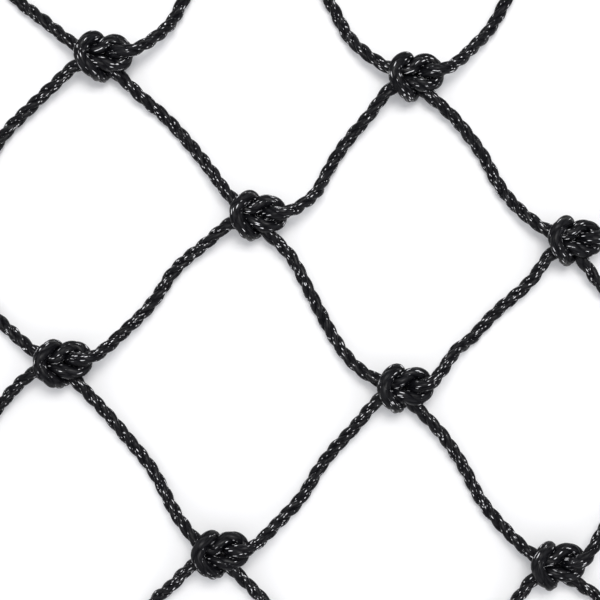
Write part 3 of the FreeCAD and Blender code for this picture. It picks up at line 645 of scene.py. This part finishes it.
def corner_eye(corner, before, after):
    """Up one side of the throat, round the thimble and back down the other side."""
    outwards, across = corner_frame(before, after)
    wide = EYE_RADIUS / math.cos(math.radians(EYE_TURN_STEP / 2))
    places = [(-EYE_THROAT, THROAT_START), (-EYE_THROAT, THROAT_FINISH)]
    for turn in range(6):
        radians = math.radians((turn - 2.5) * EYE_TURN_STEP)
        places.append((wide * math.sin(radians), EYE_REACH + wide * math.cos(radians)))
    places += [(EYE_THROAT, THROAT_FINISH), (EYE_THROAT, THROAT_START)]
    points = [corner + across * side + outwards * out for side, out in places]
    points = [corner - before * CORNER_REACH] + points + [corner + after * CORNER_REACH]
    return [point + Vector((0, 0, EYE_HEIGHT)) for point in points]


ALONG = {
    "top": Vector((1, 0, 0)), "right": Vector((0, -1, 0)),
    "bottom": Vector((-1, 0, 0)), "left": Vector((0, 1, 0)),
}
START_CORNER = {
    "top": Vector((-HALF_NET, HALF_NET, 0)), "right": Vector((HALF_NET, HALF_NET, 0)),
    "bottom": Vector((HALF_NET, -HALF_NET, 0)), "left": Vector((-HALF_NET, -HALF_NET, 0)),
}
ORDER = ["right", "bottom", "left", "top"]
FOLDS = range(1, LAST_COLUMN - 1)
SINGLE_HITCH = HALF_NET - END_HITCH_INSET
TOP_PAIRS = [(column_x(column, HALF_NET), PAIR_HALF) for column in (2, 4, 6)]
BOTTOM_PAIRS = [(-column_x(column, -HALF_NET), PAIR_HALF) for column in (5, 3, 1)]
border_sides = {
    "top": border_side(
        START_CORNER["top"], ALONG["top"], [(-SINGLE_HITCH, SINGLE_HALF)] + TOP_PAIRS,
        [fold_x(fold, HALF_NET) for fold in FOLDS], [],
    ),
    "right": border_side(
        START_CORNER["right"], ALONG["right"],
        [(-row_y(LAST_COLUMN, row), SIDE_HALF) for row in (1, 2, 3)], [],
        [-row_y(LAST_COLUMN, row) + STEP for row in (1, 2, 3)],
    ),
    "bottom": border_side(
        START_CORNER["bottom"], ALONG["bottom"], [(-SINGLE_HITCH, SINGLE_HALF)] + BOTTOM_PAIRS,
        [-fold_x(fold, -HALF_NET) for fold in FOLDS], [],
    ),
    "left": border_side(
        START_CORNER["left"], ALONG["left"],
        [(row_y(0, row), SIDE_HALF) for row in (3, 2, 1)], [],
        [row_y(0, row) + STEP for row in (3, 2, 1)],
    ),
}
CORNERS = list(zip(ORDER, ORDER[1:] + ORDER[:1]))
border_eyes = {
    after: corner_eye(START_CORNER[after], ALONG[before], ALONG[after]) for before, after in CORNERS
}
SLEEVE_Y = row_y(LAST_COLUMN, 2) - STEP
below = [point for point in border_sides["right"] if point.y < SLEEVE_Y]
above = [point for point in border_sides["right"] if point.y > SLEEVE_Y]
BUTT_MIDDLE = (above[-1] + below[0]) / 2
BUTT_DIRECTION = (below[0] - above[-1]).normalized()
border_route = [BUTT_MIDDLE + BUTT_DIRECTION * BUTT_GAP] + below
for side in ("bottom", "left", "top"):
    border_route += border_eyes[side] + border_sides[side]
border_route += border_eyes["right"] + above + [BUTT_MIDDLE - BUTT_DIRECTION * BUTT_GAP]

# The near-white colour is the painted highlight of the glints, and the pale one a painted sheen on
# the glossier filaments.
BORDER_BLACK = rope_material(
    "black_polyethylene_border", 1.1 * MM, 6.5 * MM, 0.13,
    (0.0005, 0.0005, 0.001), (0.008, 0.008, 0.010), (0.90, 0.90, 0.92), 0.35 * MM,
)
BORDER_RING_STEP = 1.9 * MM
line = smooth_line("border", border_route)
points, places = even_points(line, BORDER_RING_STEP)
rings, laid, crown, tangents = rope_rings(
    points, places, BORDER_CROWN, BORDER_LAY, 0.4, np.zeros(len(points))
)


def strip_middles(points):
    """The rings where the top and bottom stretches pass the middle of strips 2 to 5."""
    cuts = []
    for index in range(len(points) - 1):
        for column in range(2, LAST_COLUMN - 1):
            here = points[index][0] - column_x(column, points[index][1])
            there = points[index + 1][0] - column_x(column, points[index + 1][1])
            if here * there <= 0 and here != there:
                cuts.append(index)
    return cuts


cuts = [0] + strip_middles(points) + [len(points) - 1]
stretches = [(rings[a:b + 1], laid[a:b + 1], crown) for a, b in zip(cuts, cuts[1:])]


def corner_nodes(side, strip):
    """A side border's nodes: its own stretches, its two eyes and the ends of the other sides."""
    nodes = ["border_rope_%s_%d" % (side, stretch) for stretch in range(1, 5)]
    for end in ("top", "bottom"):
        nodes += ["border_eye_%s_%s" % (end, side), "border_rope_%s_%d" % (end, strip)]
    return nodes


# Clockwise from the sleeve: the right side's lower part, the bottom from strip 5 to strip 2,
# the left side, the top from strip 2 to strip 5, and the right side's upper part.
border_pieces = [
    ("border_right", [stretches[0], stretches[8]], 5, corner_nodes("right", 6)),
    ("border_bottom_4", [stretches[1]], 4, ["border_rope_bottom_5", "border_rope_bottom_4"]),
    ("border_bottom_3", [stretches[2]], 3, ["border_rope_bottom_3"]),
    ("border_bottom_2", [stretches[3]], 2, ["border_rope_bottom_2"]),
    ("border_left", [stretches[4]], 1, corner_nodes("left", 1)),
    ("border_top_2", [stretches[5]], 2, ["border_rope_top_2"]),
    ("border_top_3", [stretches[6]], 3, ["border_rope_top_3"]),
    ("border_top_4", [stretches[7]], 4, ["border_rope_top_4", "border_rope_top_5"]),
]
for name, parts, fold, nodes in border_pieces:
    piece = rope_piece(name, parts)
    piece.data.materials.append(BORDER_BLACK)
    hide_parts(*nodes)
    bend_at_fold(piece)

# ---------------------------------------------------------------------------------------------
# The bindings.
# Thin waxed cord is wound round two ropes that lie side by side, at the throat of each corner eye
# and where each twine's short end comes back beside its bar. Two turns across it pull it tight.
CORD_RADIUS = 1.0 * MM
VALLEY_DIP = 2.0 * MM            # how far the turns dip between the two ropes
END_BINDING = 15.0 * MM
THROAT_BINDING = 22.0 * MM


def select_only(piece):
    bpy.ops.object.select_all(action="DESELECT")
    piece.select_set(True)
    bpy.context.view_layer.objects.active = piece


def move_part(piece, chosen, offset):
    """Move the points of a mesh that are chosen by their place."""
    bpy.ops.object.mode_set(mode="EDIT")
    bpy.ops.mesh.select_mode(type="VERT")
    bpy.ops.mesh.select_all(action="DESELECT")
    bpy.ops.object.mode_set(mode="OBJECT")
    for vertex in piece.data.vertices:
        vertex.select = chosen(vertex.co)
    bpy.ops.object.mode_set(mode="EDIT")
    bpy.ops.transform.translate(value=offset)
    bpy.ops.object.mode_set(mode="OBJECT")


def winding(rope_radius, spacing, length):
    """Turns of cord side by side round two ropes, dipping into the valleys between them."""
    bpy.ops.object.select_all(action="DESELECT")
    radius = rope_radius + CORD_RADIUS
    bpy.ops.mesh.primitive_torus_add(
        major_segments=32, minor_segments=10, major_radius=radius, minor_radius=CORD_RADIUS,
    )
    turns = bpy.context.object
    middle = 0.1 * CORD_RADIUS
    move_part(turns, lambda place: place.x > middle, (spacing / 2, 0, 0))
    move_part(turns, lambda place: place.x < -middle, (-spacing / 2, 0, 0))
    move_part(turns, lambda place: abs(place.x) < middle and place.y > 0, (0, -VALLEY_DIP, 0))
    move_part(turns, lambda place: abs(place.x) < middle and place.y < 0, (0, VALLEY_DIP, 0))
    bpy.ops.object.mode_set(mode="EDIT")
    bpy.ops.mesh.select_all(action="SELECT")
    slope = math.atan2(CORD_RADIUS, 2 * radius)
    bpy.ops.transform.rotate(value=slope, orient_axis="X", center_override=(0, 0, 0))
    bpy.ops.object.mode_set(mode="OBJECT")
    count = round(length / (2 * CORD_RADIUS))
    row = turns.modifiers.new("row", "ARRAY")
    row.count = count
    row.use_relative_offset = False
    row.use_constant_offset = True
    row.constant_offset_displace = (0, 0, 2 * CORD_RADIUS)
    bpy.ops.object.modifier_apply(modifier=row.name)
    turns.location.z = -(count - 1) * CORD_RADIUS
    bpy.ops.object.transform_apply(location=True, rotation=True, scale=True)
    return turns


def cross_turn(rope_radius, length, x):
    """A turn of cord across the winding, between the two ropes."""
    bpy.ops.object.select_all(action="DESELECT")
    bend = 2 * CORD_RADIUS
    bpy.ops.mesh.primitive_torus_add(
        major_segments=12, minor_segments=10, major_radius=bend, minor_radius=CORD_RADIUS,
        rotation=(0, math.pi / 2, 0),
    )
    turn = bpy.context.object
    bpy.ops.object.transform_apply(location=True, rotation=True, scale=True)
    turn.rotation_euler.x = math.pi / 12
    turn.location.x = x
    bpy.ops.object.transform_apply(location=True, rotation=True, scale=True)
    wide = rope_radius + 3 * CORD_RADIUS - VALLEY_DIP - bend
    tall = length / 2 + CORD_RADIUS - bend
    for side in (-1, 1):
        for end in (-1, 1):
            move_part(
                turn, lambda place: place.y * side > 0 and place.z * end > 0,
                (0, side * wide, end * tall),
            )
    return turn


def join_pieces(name, pieces):
    select_only(pieces[0])
    for piece in pieces[1:]:
        piece.select_set(True)
    bpy.ops.object.join()
    pieces[0].name = name
    pieces[0].data.name = name
    return pieces[0]


def binding(name, rope_radius, spacing, length):
    pieces = [winding(rope_radius, spacing, length)]
    pieces += [cross_turn(rope_radius, length, side * CORD_RADIUS) for side in (-1, 1)]
    whole = join_pieces(name, pieces)
    bpy.ops.object.shade_smooth()
    return whole


def placed_copy(model, name, origin, x_axis, z_axis):
    """A copy with its own mesh, its X and Z turned to two directions, and then applied."""
    z_axis = z_axis.normalized()
    y_axis = z_axis.cross(x_axis).normalized()
    turn = Matrix((y_axis.cross(z_axis), y_axis, z_axis)).transposed()
    copy = bpy.data.objects.new(name, model.data.copy())
    bpy.context.scene.collection.objects.link(copy)
    copy.data.transform(Matrix.Translation(origin) @ turn.to_4x4())
    return copy


def cord_material():
    """Black waxed cord, finely twisted, with a dull sheen."""
    material = bpy.data.materials.new("waxed_cord")
    material.use_nodes = True
    nodes, links = material.node_tree.nodes, material.node_tree.links
    shader = nodes["Principled BSDF"]
    shader.inputs["Specular IOR Level"].default_value = 0.25
    places = nodes.new("ShaderNodeTexCoord")
    twist = nodes.new("ShaderNodeTexNoise")
    twist.inputs["Scale"].default_value = 1400.0
    twist.inputs["Detail"].default_value = 4.0
    links.new(places.outputs["Object"], twist.inputs["Vector"])
    colour = nodes.new("ShaderNodeMix")
    colour.data_type = "RGBA"
    colour.inputs["A"].default_value = (0.010, 0.010, 0.011, 1.0)
    colour.inputs["B"].default_value = (0.050, 0.048, 0.046, 1.0)
    links.new(twist.outputs["Fac"], colour.inputs["Factor"])
    links.new(colour.outputs["Result"], shader.inputs["Base Color"])
    rough = nodes.new("ShaderNodeMapRange")
    rough.inputs["To Min"].default_value = 0.75
    rough.inputs["To Max"].default_value = 0.45
    links.new(twist.outputs["Fac"], rough.inputs["Value"])
    links.new(rough.outputs["Result"], shader.inputs["Roughness"])
    bump = nodes.new("ShaderNodeBump")
    bump.inputs["Strength"].default_value = 0.6
    bump.inputs["Distance"].default_value = 0.15 * MM
    links.new(twist.outputs["Fac"], bump.inputs["Height"])
    links.new(bump.outputs["Normal"], shader.inputs["Normal"])
    return material


WAXED_CORD = cord_material()
end_binding = binding("end_binding", TWINE / 2, TURN_PITCH, END_BINDING)
throat_binding = binding("throat_binding", BORDER_RADIUS, 2 * EYE_THROAT, THROAT_BINDING)
END_BINDING_REACH, END_BINDING_DROP, END_BINDING_SLOPE = 41.0 * MM, -8.5 * MM, -0.25
end_bindings = {}
for number in range(1, LAST_COLUMN + 1):
    even, odd = twine_columns(number)
    for end, column, towards in (("top", even, (odd, 1)), ("bottom", odd, (even, 3))):
        _, _, _, pivot, bar, beside = end_hitch_frame(column, stop_place(*towards))
        middle = pivot + bar * END_BINDING_REACH + beside * (TURN_PITCH / 2)
        middle += Vector((0, 0, END_BINDING_DROP))
        copy = placed_copy(
            end_binding, "end_binding_%d_%s" % (number, end), middle, beside,
            bar + Vector((0, 0, END_BINDING_SLOPE)),
        )
        end_bindings.setdefault(min(max(column, 1), LAST_COLUMN - 1), []).append(copy)
for strip, copies in sorted(end_bindings.items()):
    bound = join_pieces("end_bindings_%d" % strip, copies)
    bound.data.materials.append(WAXED_CORD)
    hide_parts("end_seizings_%d" % strip)
    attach(bound, "strip_%d" % strip)

CORNER_NAMES = {
    "top": "top_left", "right": "top_right", "bottom": "bottom_right", "left": "bottom_left",
}
THROAT_REACH = 9.0 * MM          # from the corner out to the middle of its binding
for before, after in CORNERS:
    outwards, across = corner_frame(ALONG[before], ALONG[after])
    middle = START_CORNER[after] + outwards * THROAT_REACH + Vector((0, 0, EYE_HEIGHT))
    corner = CORNER_NAMES[after]
    bound = placed_copy(throat_binding, "throat_binding_" + corner, middle, across, outwards)
    bound.data.materials.append(WAXED_CORD)
    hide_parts("throat_seizing_" + corner)
    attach(bound, "strip_1" if corner.endswith("left") else "strip_6")
for model in (end_binding, throat_binding):
    bpy.data.objects.remove(model)

# ---------------------------------------------------------------------------------------------
# The thimbles.
# A round galvanised steel ring with a groove for the rope lies in each corner's eye, and takes
# the shackle or lashing that holds the net.
BORE_RADIUS, GROOVE_BOTTOM, RIM_RADIUS = 15.0 * MM, 18.0 * MM, 27.0 * MM
GROOVE_RADIUS = 8.2 * MM
LIP_TIP = 0.95 * MM
BORE_ROUND = 2.2 * MM


def arc_points(centre, radius, start, finish, steps):
    """Points of an arc in a profile, given as distance from the axis and height."""
    angles = np.radians(np.linspace(start, finish, steps))
    return [(centre[0] + radius * math.cos(a), centre[1] + radius * math.sin(a)) for a in angles]


def turned_piece(name, profile, steps):
    """A closed profile spun right round the Z axis."""
    bpy.ops.object.select_all(action="DESELECT")
    bpy.ops.mesh.primitive_circle_add(vertices=len(profile), radius=GROOVE_RADIUS)
    piece = bpy.context.object
    piece.name = name
    for vertex, (out, up) in zip(piece.data.vertices, profile):
        vertex.co = (out, 0.0, up)
    bpy.ops.object.mode_set(mode="EDIT")
    bpy.ops.mesh.select_all(action="SELECT")
    bpy.ops.mesh.spin(steps=steps, angle=2 * math.pi, center=(0, 0, 0), axis=(0, 0, 1))
    bpy.ops.mesh.select_all(action="SELECT")
    bpy.ops.mesh.remove_doubles(threshold=0.001 * MM)
    bpy.ops.mesh.normals_make_consistent(inside=False)
    bpy.ops.object.mode_set(mode="OBJECT")
    bpy.ops.object.shade_smooth_by_angle(angle=math.radians(40))
    return piece


def metal_group():
    """Patches like zinc crystals, and fine wear all over."""
    group = bpy.data.node_groups.new("worn_metal", "ShaderNodeTree")
    sockets = group.interface
    sockets.new_socket("Patch Scale", in_out="INPUT", socket_type="NodeSocketFloat")
    sockets.new_socket("Patches", in_out="OUTPUT", socket_type="NodeSocketFloat")
    sockets.new_socket("Wear", in_out="OUTPUT", socket_type="NodeSocketFloat")
    nodes, links = group.nodes, group.links
    given = nodes.new("NodeGroupInput")
    result = nodes.new("NodeGroupOutput")
    places = nodes.new("ShaderNodeTexCoord")
    cells = nodes.new("ShaderNodeTexVoronoi")
    links.new(places.outputs["Object"], cells.inputs["Vector"])
    links.new(given.outputs["Patch Scale"], cells.inputs["Scale"])
    shade = nodes.new("ShaderNodeSeparateColor")
    links.new(cells.outputs["Color"], shade.inputs["Color"])
    links.new(shade.outputs["Red"], result.inputs["Patches"])
    wear = nodes.new("ShaderNodeTexNoise")
    wear.inputs["Scale"].default_value = 320.0
    wear.inputs["Detail"].default_value = 6.0
    links.new(places.outputs["Object"], wear.inputs["Vector"])
    links.new(wear.outputs["Fac"], result.inputs["Wear"])
    return group


WORN_METAL = metal_group()


def metal_material(name, patch_scale, dull, bright, smooth, rough_end):
    """Bare metal whose colour changes from patch to patch and whose gloss wears unevenly."""
    material = bpy.data.materials.new(name)
    material.use_nodes = True
    nodes, links = material.node_tree.nodes, material.node_tree.links
    shader = nodes["Principled BSDF"]
    shader.inputs["Metallic"].default_value = 1.0
    wear_and_crown_glints = nodes.new("ShaderNodeGroup")
    wear_and_crown_glints.node_tree = WORN_METAL
    wear_and_crown_glints.inputs["Patch Scale"].default_value = patch_scale
    colour = nodes.new("ShaderNodeMix")
    colour.data_type = "RGBA"
    colour.inputs["A"].default_value = (*dull, 1.0)
    colour.inputs["B"].default_value = (*bright, 1.0)
    links.new(wear_and_crown_glints.outputs["Patches"], colour.inputs["Factor"])
    links.new(colour.outputs["Result"], shader.inputs["Base Color"])
    rough = nodes.new("ShaderNodeMapRange")
    rough.inputs["From Min"].default_value = 0.3
    rough.inputs["From Max"].default_value = 0.7
    rough.inputs["To Min"].default_value = smooth
    rough.inputs["To Max"].default_value = rough_end
    links.new(wear_and_crown_glints.outputs["Wear"], rough.inputs["Value"])
    links.new(rough.outputs["Result"], shader.inputs["Roughness"])
    bump = nodes.new("ShaderNodeBump")
    bump.inputs["Strength"].default_value = 0.3
    bump.inputs["Distance"].default_value = 0.08 * MM
    links.new(wear_and_crown_glints.outputs["Wear"], bump.inputs["Height"])
    links.new(bump.outputs["Normal"], shader.inputs["Normal"])
    return material


GALVANISED = metal_material(
    "galvanised_steel", 260.0, (0.42, 0.44, 0.46), (0.62, 0.64, 0.66), 0.32, 0.52,
)
groove_middle = (GROOVE_BOTTOM + GROOVE_RADIUS, 0.0)
half_height = EYE_HEIGHT
thimble_profile = arc_points(groove_middle, GROOVE_RADIUS, 96, 264, 25)
thimble_profile += arc_points((RIM_RADIUS - LIP_TIP, LIP_TIP - half_height), LIP_TIP, 60, -90, 7)
thimble_profile += arc_points(
    (BORE_RADIUS + BORE_ROUND, BORE_ROUND - half_height), BORE_ROUND, -90, -180, 6
)
thimble_profile += arc_points(
    (BORE_RADIUS + BORE_ROUND, half_height - BORE_ROUND), BORE_ROUND, 180, 90, 6
)
thimble_profile += arc_points((RIM_RADIUS - LIP_TIP, half_height - LIP_TIP), LIP_TIP, 90, -60, 7)
thimble = turned_piece("thimble", thimble_profile, 72)
for before, after in CORNERS:
    outwards, across = corner_frame(ALONG[before], ALONG[after])
    middle = START_CORNER[after] + outwards * EYE_REACH + Vector((0, 0, EYE_HEIGHT))
    corner = CORNER_NAMES[after]
    ring = placed_copy(
        thimble, "round_thimble_" + corner, middle, Vector((1, 0, 0)), Vector((0, 0, 1)),
    )
    ring.data.materials.append(GALVANISED)
    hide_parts("thimble_" + corner)
    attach(ring, "strip_1" if corner.endswith("left") else "strip_6")
bpy.data.objects.remove(thimble)

# ---------------------------------------------------------------------------------------------
# The sleeve.
# A pressed aluminium sleeve joins the two ends of the border rope. The press leaves three shallow
# bands round it.
SLEEVE_RADIUS, SLEEVE_LENGTH = 11.0 * MM, 48.0 * MM
SLEEVE_ROUND = 1.4 * MM
BAND_DEPTH, BAND_HALF, BAND_PITCH = 0.7 * MM, 4.5 * MM, 14.0 * MM
PRESSED_ALLOY = metal_material(
    "pressed_aluminium", 60.0, (0.66, 0.67, 0.68), (0.76, 0.77, 0.78), 0.28, 0.46,
)
mouth = BORDER_RADIUS + SLEEVE_ROUND
half_length = SLEEVE_LENGTH / 2
rounded = SLEEVE_RADIUS - SLEEVE_ROUND
sleeve_profile = arc_points((mouth, SLEEVE_ROUND - half_length), SLEEVE_ROUND, 180, 270, 6)
sleeve_profile += arc_points((rounded, SLEEVE_ROUND - half_length), SLEEVE_ROUND, 270, 360, 6)
for band in (-1, 0, 1):
    for share, depth in ((-1.15, 0.0), (-0.9, 0.6), (-0.7, 1.0), (0.7, 1.0), (0.9, 0.6), (1.15, 0.0)):
        up = band * BAND_PITCH + share * BAND_HALF
        sleeve_profile.append((SLEEVE_RADIUS - depth * BAND_DEPTH, up))
sleeve_profile += arc_points((rounded, half_length - SLEEVE_ROUND), SLEEVE_ROUND, 0, 90, 6)
sleeve_profile += arc_points((mouth, half_length - SLEEVE_ROUND), SLEEVE_ROUND, 90, 180, 6)
turned = turned_piece("sleeve", sleeve_profile, 48)
sleeve = placed_copy(turned, "pressed_sleeve", BUTT_MIDDLE, Vector((0, 0, 1)), BUTT_DIRECTION)
bpy.data.objects.remove(turned)
sleeve.data.materials.append(PRESSED_ALLOY)
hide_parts("border_ferrule")
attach(sleeve, "strip_6")

# ---------------------------------------------------------------------------------------------
# The floor, the light and the world.
# A pale floor, a wide soft lamp from the top of the net and an even, slightly blue fill.
FLOOR_SIZE = 12.0
FLOOR_DROP = 0.2 * MM
bpy.ops.object.select_all(action="DESELECT")
bpy.ops.mesh.primitive_plane_add(size=FLOOR_SIZE, location=(0, 0, -FLOOR_DROP))
floor = bpy.context.object
floor.name = "floor"
floor_paint = bpy.data.materials.new("pale_floor")
floor_paint.use_nodes = True
paint = floor_paint.node_tree.nodes["Principled BSDF"]
paint.inputs["Base Color"].default_value = (0.92, 0.92, 0.92, 1.0)
paint.inputs["Roughness"].default_value = 0.9
paint.inputs["Specular IOR Level"].default_value = 0.1
floor.data.materials.append(floor_paint)

LAMP_PLACE = Vector((0.10, 0.75, 2.50))
lamp_data = bpy.data.lights.new("soft_lamp", "AREA")
lamp_data.shape = "RECTANGLE"
lamp_data.size = 1.2
lamp_data.size_y = 0.8
lamp_data.energy = 36.0
lamp_data.color = (1.0, 0.99, 0.97)
lamp = bpy.data.objects.new("soft_lamp", lamp_data)
lamp.location = LAMP_PLACE
lamp.rotation_euler = (-LAMP_PLACE).to_track_quat("-Z", "Y").to_euler()
bpy.context.scene.collection.objects.link(lamp)

world = bpy.data.worlds.new("studio")
world.use_nodes = True
world.node_tree.nodes["Background"].inputs["Color"].default_value = (0.95, 0.96, 1.0, 1.0)
world.node_tree.nodes["Background"].inputs["Strength"].default_value = 0.86
bpy.context.scene.world = world
bpy.context.scene.view_settings.view_transform = "Standard"
